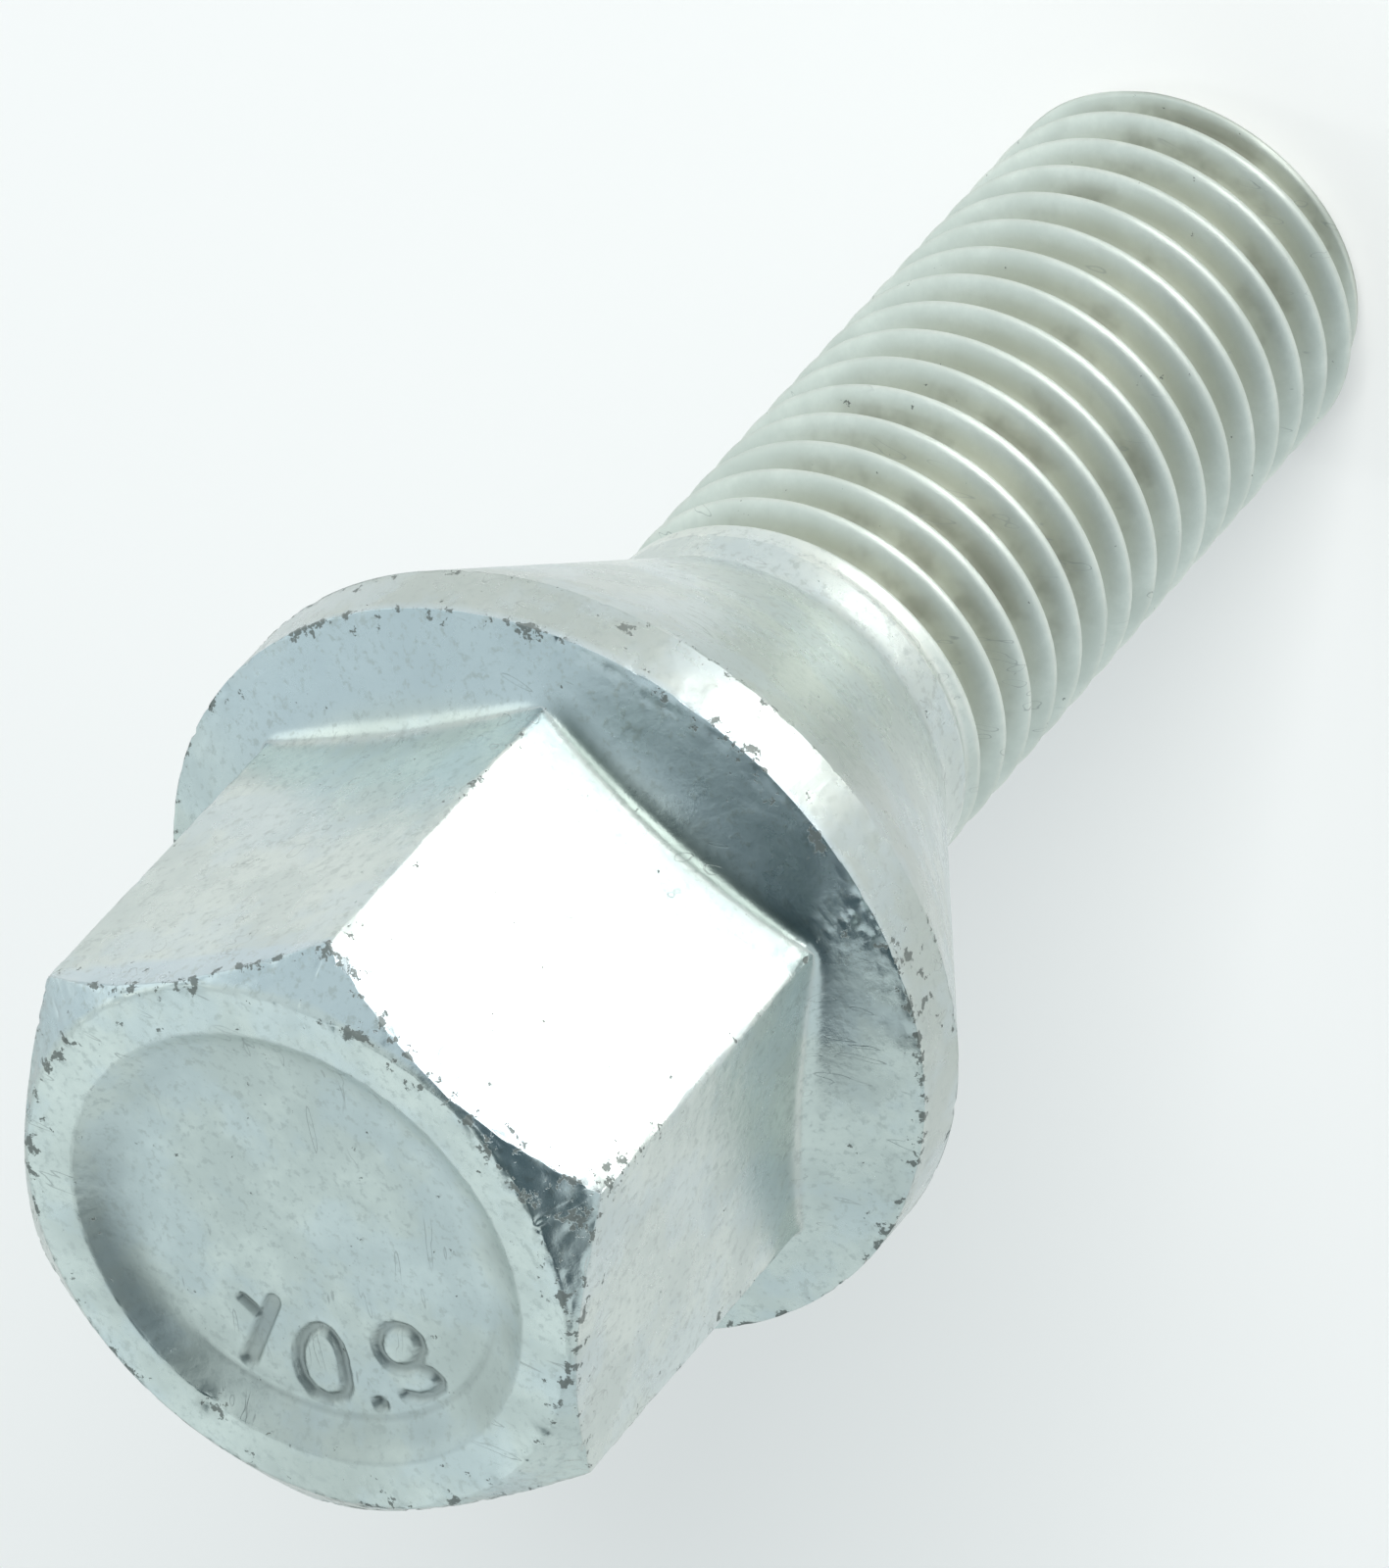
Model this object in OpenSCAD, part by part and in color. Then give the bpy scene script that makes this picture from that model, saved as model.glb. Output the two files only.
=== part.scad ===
// Wheel bolt: one forged and thread-rolled piece, stood on its thread end.
// Millimetres, +Z up along the bolt's axis. The origin is the centre of the
// thread's end face, and the hexagon's end face looks up.

/* [Hexagon] */
// Width of the hexagon across its flats
across_flats = 17; // [16.5:0.1:18]
// Height from the flange's upper rim edge to the end face
hex_height = 13.4; // [11:0.1:16]
// Diameter of the flat face inside the corner chamfer
face_d = 16.6; // [16:0.1:16.9]
// Slope of the corner chamfer, measured from the end face
chamfer_angle = 40; // [25:1:45]
// Radius of the hollow corner where a flat runs out into the flange
root_radius = 1.2; // [0.8:0.1:1.5]

/* [Dished end face] */
// Diameter of the dish where it meets the end face
dish_d = 13.8; // [12:0.1:15]
// Diameter of the flat floor of the dish
dish_floor_d = 11.2; // [8:0.1:11.8]
// Depth of the dish
dish_depth = 0.6; // [0.3:0.05:1.2]

/* [Flange] */
// Outer diameter of the round flange
flange_d = 23.5; // [22.5:0.1:25]
// Height of the flange's rim band
rim_height = 1.9; // [1.4:0.1:3]
// Fall of the flange's upper side towards the rim
flange_slope = 12; // [8:1:16]
// Fall of the hollow corner's tail, which carries the hexagon's ridges out
tail_slope = 30; // [25:1:35]

/* [Conical seat] */
// Full angle of the seat
seat_angle = 60; // [50:1:70]
// Radius of the hollow corner between the seat and the neck
neck_radius = 1.2; // [0.6:0.1:2]

/* [Threaded shank] */
// Major diameter of the thread, over its crests
thread_d = 12; // [11:0.1:12.6]
// Length of the shank under the seat
shank_length = 26.5; // [20:0.5:40]
// Height of the chamfer at the thread's end
tip_chamfer = 1.2; // [0.8:0.1:1.8]

/* [Display] */
// Piece to draw

/* [Hidden] */
// Facets asked of each round, for the drawn view
$fn = 96;
// Half of the hexagon's width across flats
flat_r = across_flats / 2;
// Radius of the hexagon's corners
corner_r = flat_r / cos(30);
// Radii of the flange, the shank and its end face
flange_r = flange_d / 2;
thread_r = thread_d / 2;
tip_r = thread_r - tip_chamfer;
// Axial length of the seat's cone
seat_length = (flange_r - thread_r) / tan(seat_angle / 2);
// Heights of the seat's two ends, the rim's upper edge and the end face
seat_low = shank_length;
rim_low = seat_low + seat_length;
rim_top = rim_low + rim_height;
face_z = rim_top + hex_height;
// Where the hollow corner's arc hands over to its tail, beside a flat
tail_x = flat_r + root_radius * (1 - sin(tail_slope));
tail_z = rim_top + (flange_r - tail_x) * tan(flange_slope);
// Height at which the hollow corner leaves the flat
root_z = tail_z + root_radius * cos(tail_slope);
// Height of the flange's upper cone where it runs under the hexagon
crown_z = rim_top + (flange_r - thread_r) * tan(flange_slope);
// Drop of the chamfer cone between the face and a corner, and a step more
chamfer_run = corner_r - face_d / 2 + 1;
chamfer_drop = chamfer_run * tan(chamfer_angle);
// Distance from the seat's end to where its hollow corner begins, both ways
neck_touch = neck_radius * tan(seat_angle / 4);
// A little more than nothing, for cuts that must pass a face
step = 0.5;

// Half of the section across two flats, hollow corner and tail included.
module half_section() {
    end_x = flange_r + step;
    end_z = tail_z - (end_x - tail_x) * tan(tail_slope);
    difference() {
        polygon([
            [0, rim_low], [end_x, rim_low], [end_x, max(end_z, rim_low + 0.01)],
            [tail_x, tail_z], [flat_r, root_z], [flat_r, face_z], [0, face_z]
        ]);
        translate([flat_r + root_radius, root_z]) circle(r = root_radius);
    }
}

// A bar of that section, whole across two opposite flats.
module flat_bar() {
    rotate([90, 0, 0])
        linear_extrude(height = 4 * flange_r, center = true) {
            half_section();
            mirror([1, 0]) half_section();
        }
}

// The space under the corner chamfer, as wide as the flange below it.
module chamfer_space() {
    rotate_extrude()
        polygon([
            [0, rim_low], [flange_r, rim_low], [flange_r, face_z - chamfer_drop],
            [face_d / 2 + chamfer_run, face_z - chamfer_drop],
            [face_d / 2, face_z], [0, face_z]
        ]);
}

// Hexagon with its chamfered corners, running out into the flange.
module hexagon_head() {
    intersection() {
        flat_bar();
        rotate([0, 0, 60]) flat_bar();
        rotate([0, 0, 120]) flat_bar();
        chamfer_space();
    }
}

// Flange, seat, neck and plain shank as one turned section.
module turned_body() {
    rotate_extrude()
        difference() {
            polygon([
                [0, 0], [tip_r, 0], [thread_r, tip_chamfer],
                [thread_r, seat_low - neck_touch],
                [thread_r + neck_touch * sin(seat_angle / 2),
                 seat_low + neck_touch * cos(seat_angle / 2)],
                [flange_r, rim_low], [flange_r, rim_top],
                [thread_r, crown_z], [0, crown_z]
            ]);
            translate([thread_r + neck_radius, seat_low - neck_touch])
                circle(r = neck_radius);
        }
}

// Round dish sunk into the end face.
module dish() {
    rotate_extrude()
        polygon([
            [0, face_z - dish_depth], [dish_floor_d / 2, face_z - dish_depth],
            [dish_d / 2, face_z], [dish_d / 2, face_z + step], [0, face_z + step]
        ]);
}

// The whole bolt.
module bolt() {
    color([0.76, 0.79, 0.78])
        difference() {
            union() {
                turned_body();
                hexagon_head();
            }
            dish();
        }
}

bolt();
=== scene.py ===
"""Wheel bolt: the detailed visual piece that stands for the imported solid.

The bolt is one forged and thread-rolled piece of zinc-plated steel. It stands on
its thread end with the hexagon up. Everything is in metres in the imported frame;
only the bolt's shape is worked in millimetres, and scaled once at the end.
"""
import logging
import math
from dataclasses import dataclass, field
from enum import Enum
from typing import NamedTuple

import bmesh
import bpy
from bmesh.types import BMesh, BMVert
from mathutils import Matrix, Vector, noise


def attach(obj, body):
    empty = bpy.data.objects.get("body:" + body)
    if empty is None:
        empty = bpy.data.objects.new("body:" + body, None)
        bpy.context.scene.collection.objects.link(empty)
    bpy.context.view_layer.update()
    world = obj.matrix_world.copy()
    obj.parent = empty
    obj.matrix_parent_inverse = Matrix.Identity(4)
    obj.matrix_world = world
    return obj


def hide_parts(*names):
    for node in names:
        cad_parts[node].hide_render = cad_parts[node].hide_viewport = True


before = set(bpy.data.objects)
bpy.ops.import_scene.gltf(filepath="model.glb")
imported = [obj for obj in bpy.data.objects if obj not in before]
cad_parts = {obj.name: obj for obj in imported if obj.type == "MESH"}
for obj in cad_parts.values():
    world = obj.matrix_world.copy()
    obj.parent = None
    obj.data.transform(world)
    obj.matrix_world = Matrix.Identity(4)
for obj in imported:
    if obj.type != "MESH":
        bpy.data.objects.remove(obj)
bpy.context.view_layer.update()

Colour = tuple[float, float, float, float]
Socket = bpy.types.NodeSocket
Tree = bpy.types.NodeTree

LOG = logging.getLogger("wheel_bolt")
MM = 0.001
# Distance that counts as touching, in millimetres
TOUCH = 0.01
# Half of the turn that one flat of the hexagon takes, in radians
HALF_SIDE = math.pi / 6
# Layers: the number of a blank's ring, and the masks that the finishes read
RING_LAYER = "ring"
HEAD_MASKS = ("wear", "hollow", "stamp", "shade_and_dark_tone", "cool")
THREAD_MASKS = ("groove", "rolled")


# Shape helpers

# Largest share of a side that the rounding of its end takes
ROUNDING_SHARE = 0.45
# How far wear spreads from a worn corner, in millimetres
WEAR_REACH = 0.42
# Radius of a blank's first ring and the distance that merges it, in millimetres
AXIS_R, AXIS_MERGE = 0.02, 1.0


class Corner(NamedTuple):
    """A corner of a turned section, with the rounding and wear that it carries."""

    r: float
    z: float
    radius: float = 0.0
    arc: int = 0
    run: int = 1
    wear: float = 0.0


class Station(NamedTuple):
    """A sampled point of a turned section."""

    r: float
    z: float
    wear: float


class Ramp(NamedTuple):
    """A soft ramp that is 0 before its start and 1 past its end."""

    start: float
    end: float

    def at(self, x: float) -> float:
        """Return the ramp's height.

        Args:
            x: Where it is read.

        Returns:
            A share from 0 to 1.
        """
        t = min(max((x - self.start) / (self.end - self.start), 0.0), 1.0)
        return t * t * (3.0 - 2.0 * t)


def smooth_max(a: float, b: float, width: float) -> float:
    """Return the larger of two numbers with a soft hand-over.

    Args:
        a: First number.
        b: Second number.
        width: Size of the hand-over.

    Returns:
        A value a little above the larger number where they are close.
    """
    h = max(width - abs(a - b), 0.0) / width
    return max(a, b) + h * h * width * 0.25


def round_section(corners: list[Corner]) -> list[Station]:
    """Sample a section with rounded corners.

    Args:
        corners: The section's corners in order, with their roundings and runs.

    Returns:
        Stations, as many for any list with the same arcs and runs.
    """
    points = [Vector((c.r, c.z)) for c in corners]
    cuts: list[tuple[Vector, Vector]] = []
    for i, corner in enumerate(corners):
        if corner.arc == 0 or i in (0, len(corners) - 1):
            cuts.append((points[i], points[i]))
            continue
        before, after = points[i - 1] - points[i], points[i + 1] - points[i]
        turn = math.pi - before.angle(after)
        reach = corner.radius * math.tan(turn / 2)
        reach = min(reach, ROUNDING_SHARE * before.length, ROUNDING_SHARE * after.length)
        back, on = before.normalized() * reach, after.normalized() * reach
        cuts.append((points[i] + back, points[i] + on))
    sampled: list[Vector] = [points[0]]
    for i in range(1, len(corners)):
        start, end = cuts[i - 1][1], cuts[i][0]
        for k in range(1, corners[i].run + 1):
            sampled.append(start.lerp(end, k / corners[i].run))
        for k in range(1, corners[i].arc + 1):
            t = k / corners[i].arc
            first, last = cuts[i]
            sampled.append(first.lerp(points[i], t).lerp(points[i].lerp(last, t), t))
    stations = []
    for p in sampled:
        wear = 0.0
        for corner, q in zip(corners, points):
            if corner.wear:
                wear = max(wear, corner.wear * math.exp(-(p - q).length / WEAR_REACH))
        stations.append(Station(p.x, p.y, wear))
    return stations


def turn_blank(bm: BMesh, stations: list[Station], columns: int) -> list[list[BMVert]]:
    """Spin a section round the axis and sort the result into rings.

    Args:
        bm: The mesh that takes the blank.
        stations: Section of the blank.
        columns: Number of steps in a full turn.

    Returns:
        The blank's vertices, one list per ring in order round the axis.
    """
    tag = bm.verts.layers.int.new(RING_LAYER)
    chain = []
    for i, s in enumerate(stations):
        v = bm.verts.new((max(s.r, AXIS_R), 0.0, s.z))
        v[tag] = i
        chain.append(v)
    edges = [bm.edges.new(pair) for pair in zip(chain, chain[1:])]
    bmesh.ops.spin(
        bm, geom=chain + edges, cent=(0, 0, 0), axis=(0, 0, 1), dvec=(0, 0, 0),
        angle=math.tau, steps=columns, use_merge=True, use_duplicate=False,
    )
    rings: list[list[BMVert]] = [[] for _ in stations]
    for v in bm.verts:
        rings[v[tag]].append(v)
    for ring in rings:
        ring.sort(key=lambda v: round(math.degrees(math.atan2(v.co.y, v.co.x)) % 360.0, 3) % 360.0)
    return rings


# The bolt


@dataclass(frozen=True)
class BoltSizes:
    """Sizes of the bolt's visible surface: millimetres, and degrees for angles."""

    flat_r: float = 8.5
    face_r: float = 8.3
    chamfer_angle: float = 40.0
    dish_r: float = 6.9
    dish_foot_r: float = 5.0
    dish_depth: float = 0.6
    root_radius: float = 1.2
    tail_angle: float = 30.0
    ridge_angle: float = 33.0
    root_bow: float = 0.8
    flange_r: float = 11.735
    flange_angle: float = 15.5
    rim_top: float = 38.359
    rim_low: float = 36.459
    seat_low: float = 26.5
    neck_radius: float = 1.2
    face_z: float = 51.755
    shank_r: float = 5.97

    @property
    def fall(self) -> float:
        """Drop of the ridges per millimetre outwards."""
        return math.tan(math.radians(self.ridge_angle))

    @property
    def bow(self) -> float:
        """Drop of a flat's end per millimetre that its corner stands further out."""
        return self.root_bow * self.fall

    @property
    def tail_r(self) -> float:
        """Distance from the axis at which the hollow corner ends, beside a flat."""
        return self.flat_r + self.root_radius * (1 - math.sin(math.radians(self.tail_angle)))

    @property
    def tail_z(self) -> float:
        """Height at which the hollow corner ends, beside a flat."""
        return self.flange_z(self.tail_r)

    @property
    def root_z(self) -> float:
        """Height at which the hollow corner leaves the flat."""
        return self.tail_z + self.root_radius * math.cos(math.radians(self.tail_angle))

    def flange_z(self, r: float) -> float:
        """Return the height of the flange's upper side.

        Args:
            r: Distance from the axis.

        Returns:
            Height in millimetres.
        """
        return self.rim_top + (self.flange_r - r) * math.tan(math.radians(self.flange_angle))


def fold(angle: float) -> float:
    """Return how far a direction is from the middle of the nearest flat.

    Args:
        angle: Angle round the axis in radians, 0 at the middle of a flat.

    Returns:
        Angle in radians, from 0 to half a side.
    """
    return abs((angle + HALF_SIDE) % (2 * HALF_SIDE) - HALF_SIDE)


def hexagon_reach(angle: float, crispness: float) -> float:
    """Return the share of a radius that counts as distance to the nearest flat.

    Args:
        angle: Angle round the axis in radians, 0 at the middle of a flat.
        crispness: Power of the norm; a lower one rounds the corners more.

    Returns:
        The factor, 1 at the middle of a flat and near 0.87 at a corner.
    """
    folded = fold(angle)
    near, far = math.cos(folded), math.cos(2 * HALF_SIDE - folded)
    return near * (1.0 + (far / near) ** crispness) ** (1.0 / crispness)


@dataclass(frozen=True)
class Stroke:
    """A stamped stroke of the strength number, in millimetres on the dish floor."""

    path: tuple[tuple[float, float], ...]
    width: float
    depth: float
    closed: bool = False

    def distance(self, x: float, y: float) -> float:
        """Return the distance from a point to the stroke's centre line.

        Args:
            x: Place along X.
            y: Place along Y.

        Returns:
            Distance in millimetres.
        """
        best = math.inf
        points = self.path + (self.path[:1] if self.closed else ())
        if len(points) == 1:
            return math.hypot(x - points[0][0], y - points[0][1])
        for (ax, ay), (bx, by) in zip(points, points[1:]):
            dx, dy = bx - ax, by - ay
            t = ((x - ax) * dx + (y - ay) * dy) / (dx * dx + dy * dy)
            t = min(max(t, 0.0), 1.0)
            best = min(best, math.hypot(x - ax - t * dx, y - ay - t * dy))
        return best


@dataclass(frozen=True)
class StrengthNumber:
    """The strength class 10.9, stamped into the floor of the dish."""

    strokes: tuple[Stroke, ...] = (
        Stroke(((-1.85, 2.22), (-2.6, 2.98), (-3.5, 3.92)), 0.46, 0.13),
        Stroke(((-1.60, 3.16), (-2.12, 2.86)), 0.26, 0.15),
        Stroke((
            (-2.79, 1.30), (-2.98, 1.75), (-3.33, 2.12), (-3.81, 2.36), (-4.30, 2.46),
            (-4.75, 2.32), (-5.03, 1.96), (-5.02, 1.48), (-4.72, 1.16), (-4.30, 0.99),
            (-3.80, 0.82), (-3.35, 0.74), (-2.98, 0.83), (-2.80, 1.02),
        ), 0.30, 0.15, True),
        Stroke(((-5.33, 0.31),), 0.42, 0.24),
        Stroke((
            (-4.24, -1.40), (-4.33, -1.10), (-4.27, -0.80), (-4.08, -0.58), (-3.80, -0.49),
            (-3.50, -0.55), (-3.20, -0.78), (-3.00, -1.12), (-2.98, -1.50), (-3.12, -1.85),
            (-3.42, -2.02), (-3.78, -1.94), (-4.05, -1.70),
        ), 0.30, 0.15, True),
        Stroke((
            (-4.28, -1.15), (-4.34, -1.55), (-4.50, -1.90), (-4.78, -2.05), (-5.05, -1.92),
            (-5.22, -1.55), (-5.26, -1.10), (-5.13, -0.66),
        ), 0.28, 0.15),
    )
    wall: Ramp = Ramp(-0.07, 0.05)
    inner_x: float = -1.2

    def sink(self, x: float, y: float) -> float:
        """Return how deep the number is at a point of the dish floor.

        Args:
            x: Place along X.
            y: Place along Y.

        Returns:
            Depth in millimetres.
        """
        if x > self.inner_x:
            return 0.0
        return max(
            stroke.depth * (1.0 - self.wall.at(stroke.distance(x, y) - stroke.width / 2))
            for stroke in self.strokes
        )


class Falloff(NamedTuple):
    """How a mark fades: its sharpness, and where it ends as a share of its reach."""

    sharpness: float
    end: float


@dataclass(frozen=True)
class Mark:
    """A marked place on the surface: a depth or a share, and lengths in millimetres."""

    x: float
    y: float
    z: float
    reach: float
    strength: float = 1.0

    def read(self, place: Vector, falloff: Falloff) -> float:
        """Return how strong the mark is at a place.

        Args:
            place: Point of the surface.
            falloff: How the mark fades.

        Returns:
            A value from 0 to the mark's strength.
        """
        away = (place - Vector((self.x, self.y, self.z))).length / self.reach
        if away >= falloff.end:
            return 0.0
        return self.strength * math.exp(-away * away * falloff.sharpness)


@dataclass(frozen=True)
class HeadMarks:
    """Where wear, painted shade, darker places and tones lie on the head.

    The ramps are in millimetres past the place that their name gives, and those
    named turn are cosines of the angle from a side.
    """

    sizes: BoltSizes
    scuffs: tuple[Mark, ...] = ()
    shades: tuple[Mark, ...] = ()
    rubbing: Falloff = Falloff(1.0, 2.5)
    edge_wear: float = 0.55
    edge_width: float = 0.28
    edge_r: Ramp = Ramp(8.35, 8.5)
    edge_foot: float = 0.6
    # Painted shade in the hollow corner: a thin dark line where a flat ends and a dark band below
    # it, on one side of the head only
    line_share: float = 0.35
    line_below_root: Ramp = Ramp(-0.06, 0.06)
    shade_below_root: Ramp = Ramp(0.24, 0.4)
    shade_fade_below_root: Ramp = Ramp(0.95, 0.6)
    shade_past_flat: Ramp = Ramp(1.0, 0.5)
    shade_side: float = math.radians(-60.0)
    shade_turn: Ramp = Ramp(0.84, 0.92)
    # Painted darkening: the upper seat and the rim band grow darker, partly as painted shade
    seat_darkening: tuple[float, float] = (3.0, 1.0)
    darkening_past_rim: Ramp = Ramp(0.05, -0.15)
    cool_past_face_r: Ramp = Ramp(0.02, 0.2)
    cool_past_face: Ramp = Ramp(-1.6, -1.3)
    cool_below_root: Ramp = Ramp(0.7, 1.2)
    cool_past_rim: Ramp = Ramp(-0.2, 0.0)
    cool_side: float = math.radians(-25.0)
    cool_turn: Ramp = Ramp(0.1, 0.7)

    def read(
        self, station: Station, angle: float, place: Vector, crispness: float
    ) -> tuple[float, float, float, float]:
        """Return what the masks say at a point.

        Args:
            station: The point on its section.
            angle: Angle round the axis in radians.
            place: The point in space.
            crispness: That of the ridges.

        Returns:
            Shares of wear, of painted shade in the hollow corner, of darkening that is partly
            painted shade, and of blue.
        """
        s = self.sizes
        r, z = station.r, station.z
        edge = self.edge_wear * math.exp((fold(angle) - HALF_SIDE) * r / self.edge_width)
        edge *= Ramp(s.tail_z - self.edge_foot, s.root_z).at(z) * self.edge_r.at(r)
        wear = max(station.wear, edge, *(m.read(place, self.rubbing) for m in self.scuffs))
        square = r * hexagon_reach(angle, crispness)
        drop = s.root_z - (z + (r - square) * s.bow)
        # Painted shade: a dark line and band below the flat's end, faded by the turn away from one
        # side
        hollow = self.line_share * self.line_below_root.at(drop)
        hollow += (1.0 - self.line_share) * self.shade_below_root.at(drop)
        hollow *= self.shade_fade_below_root.at(drop) * self.shade_past_flat.at(square - s.flat_r)
        hollow *= self.shade_turn.at(math.cos(angle - self.shade_side))
        # Darker towards the rim, partly painted shade; the marks in shades add painted shade on
        # the dish wall and darker patches on the face ring
        shade_and_dark_tone = Ramp(s.seat_low + self.seat_darkening[0], s.rim_low - self.seat_darkening[1]).at(z)
        shade_and_dark_tone *= self.darkening_past_rim.at(z - s.rim_top)
        shade_and_dark_tone = max(shade_and_dark_tone, 0.0, *(m.read(place, self.rubbing) for m in self.shades))
        chamfer = self.cool_past_face_r.at(r - s.face_r) * self.cool_past_face.at(z - s.face_z)
        flange = self.cool_below_root.at(s.root_z - z) * self.cool_past_rim.at(z - s.rim_top)
        cool = max(chamfer, flange) * self.cool_turn.at(math.cos(angle - self.cool_side))
        return wear, hollow, shade_and_dark_tone, cool


@dataclass
class Head:
    """Dished hexagon, flange, seat and neck, forged as one."""

    sizes: BoltSizes
    marks: HeadMarks
    dents: tuple[Mark, ...] = ()
    number: StrengthNumber = field(default_factory=StrengthNumber)
    columns: int = 360
    corner_crispness: float = 190.0
    ridge_crispness: float = 20.0
    gathering: Ramp = Ramp(0.84, 0.98)
    gather_power: float = 1.5
    inner_radii: tuple[float, ...] = (0.0, 0.8, 1.6)
    floor_from: float = 2.3
    floor_step: float = 0.1
    floor_rings: int = 43
    dish_curve: float = 2.5
    fillet_rings: int = 9
    tail_rings: int = 21
    least_step: float = 0.004
    blend: float = 0.4
    rim_inset: float = 0.02
    neck_end: float = 25.6
    seat_run: float = 3.0
    seat_sag: float = 0.3
    full_stamp: float = 0.15
    crease_r: float = 5.75
    crease_width: float = 0.075
    crease_depth: float = 0.06
    crease_tone: float = 0.6
    crease_start: Ramp = Ramp(1.9, 2.4)
    crease_end: Ramp = Ramp(4.4, 3.7)
    knocking: Falloff = Falloff(2.0, 2.0)
    swell_scale: float = 0.22
    swell_depth: float = 0.035
    ripple_scale: float = 1.1
    ripple_depth: float = 0.012
    ripple_shift: Vector = Vector((7.1, 3.3, 1.7))
    chip_scale: float = 3.6
    chip_shift: Vector = Vector((1.9, 8.2, 4.4))
    crumb_scale: float = 8.3
    crumb_share: float = 0.7
    chip_ramp: Ramp = Ramp(0.1, 0.7)
    chip_depth: float = 0.075

    def section(self, angle: float) -> list[Station]:
        """Return the section along a ray from the axis.

        Args:
            angle: Angle round the axis in radians.

        Returns:
            Stations from the middle of the dish to the neck.
        """
        s = self.sizes
        floor_z = s.face_z - s.dish_depth
        corners = [Corner(r, floor_z) for r in self.inner_radii]
        for k in range(self.floor_rings):
            r = self.floor_from + self.floor_step * k
            climb = max((r - s.dish_foot_r) / (s.dish_r - s.dish_foot_r), 0.0)
            corners.append(Corner(r, floor_z + s.dish_depth * climb ** self.dish_curve))
        flat = s.flat_r / hexagon_reach(angle, self.corner_crispness)
        edge_z = s.face_z - (flat - s.face_r) * math.tan(math.radians(s.chamfer_angle))
        corners += [
            Corner(s.dish_r, s.face_z, radius=0.35, arc=5, run=2, wear=0.25),
            Corner(s.face_r, s.face_z, radius=0.3, arc=4, run=8, wear=0.9),
            Corner(flat, edge_z, radius=0.16, arc=4, run=7, wear=0.9),
            Corner(flat, s.root_z - (flat - s.flat_r) * s.bow, run=36),
        ]
        for k in range(1, self.fillet_rings + 1):
            share = k / self.fillet_rings
            turn = math.radians((90.0 - s.tail_angle) * share)
            softness = (1 / self.ridge_crispness - 1 / self.corner_crispness) * share
            crisp = 1 / (1 / self.corner_crispness + softness)
            x = s.flat_r + s.root_radius * (1 - math.cos(turn))
            r = max(x / hexagon_reach(angle, crisp), corners[-1].r + self.least_step)
            z = s.root_z - s.root_radius * math.sin(turn) - (r - x) * s.bow
            corners.append(Corner(r, smooth_max(z, s.flange_z(r), self.blend)))
        reach = hexagon_reach(angle, self.ridge_crispness)
        start, end = corners[-1].r, s.flange_r - self.rim_inset
        for k in range(1, self.tail_rings):
            r = start + (end - start) * k / self.tail_rings
            tail = s.tail_z - (r * reach - s.tail_r) * s.fall - (r - r * reach) * s.bow
            corners.append(Corner(r, smooth_max(tail, s.flange_z(r), self.blend)))
        corners += [
            Corner(s.flange_r, s.rim_top, radius=0.3, arc=5, wear=1.0),
            Corner(s.flange_r, s.rim_low, radius=0.14, arc=4, run=6, wear=0.55),
            Corner(s.shank_r, s.seat_low, radius=s.neck_radius, arc=7, run=24),
            Corner(s.shank_r, self.neck_end, run=3),
        ]
        return round_section(corners)

    def column_angle(self, column: int, gathered: float) -> float:
        """Return the angle of a column.

        Args:
            column: Number of the column, 0 at the middle of the first flat.
            gathered: 0 for even columns and 1 for columns drawn to the corners.

        Returns:
            Angle in radians.
        """
        per_side = self.columns // 6
        side, place = divmod(column + per_side // 2, per_side)
        even = place / per_side * 2 - 1
        bent = math.copysign(1 - (1 - abs(even)) ** self.gather_power, even)
        return HALF_SIDE * (2 * side + even + (bent - even) * gathered)

    def forge(self, bm: BMesh) -> None:
        """Build the head in an empty mesh.

        Args:
            bm: The mesh to fill, in millimetres.
        """
        for name in HEAD_MASKS:
            bm.verts.layers.float.new(name)
        plain = self.section(0.0)
        rings = turn_blank(bm, plain, self.columns)
        layers = [bm.verts.layers.float[name] for name in HEAD_MASKS if name != "stamp"]
        sections: dict[float, list[Station]] = {}
        for i, ring in enumerate(rings):
            on_top = i <= len(plain) // 2
            gathered = self.gathering.at(plain[i].r / self.sizes.face_r) if on_top else 1.0
            for column, v in enumerate(ring):
                angle = self.column_angle(column, gathered)
                key = round(fold(angle), 6)
                if key not in sections:
                    sections[key] = self.section(key)
                station = sections[key][i]
                v.co = (station.r * math.cos(angle), station.r * math.sin(angle), station.z)
                values = self.marks.read(station, angle, v.co, self.ridge_crispness)
                for layer, value in zip(layers, values):
                    v[layer] = value
        bmesh.ops.remove_doubles(bm, verts=rings[0], dist=AXIS_MERGE)
        bmesh.ops.recalc_face_normals(bm, faces=bm.faces[:])

    def stamp(self, bm: BMesh) -> None:
        """Press the strength number and a curved crease into the dish.

        Args:
            bm: The head's mesh, in millimetres.
        """
        stamped = bm.verts.layers.float["stamp"]
        floor_z = self.sizes.face_z - self.sizes.dish_depth
        for v in bm.verts:
            r = v.co.xy.length
            if v.co.z < floor_z - TOUCH or r >= self.sizes.dish_r:
                continue
            depth = self.number.sink(v.co.x, v.co.y)
            turn = math.atan2(v.co.y, v.co.x) % math.tau
            crease = self.crease_start.at(turn) * self.crease_end.at(turn)
            crease *= math.exp(-(((r - self.crease_r) / self.crease_width) ** 2))
            v.co.z -= depth + self.crease_depth * crease
            v[stamped] = max(min(depth / self.full_stamp, 1.0), self.crease_tone * crease)

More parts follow.
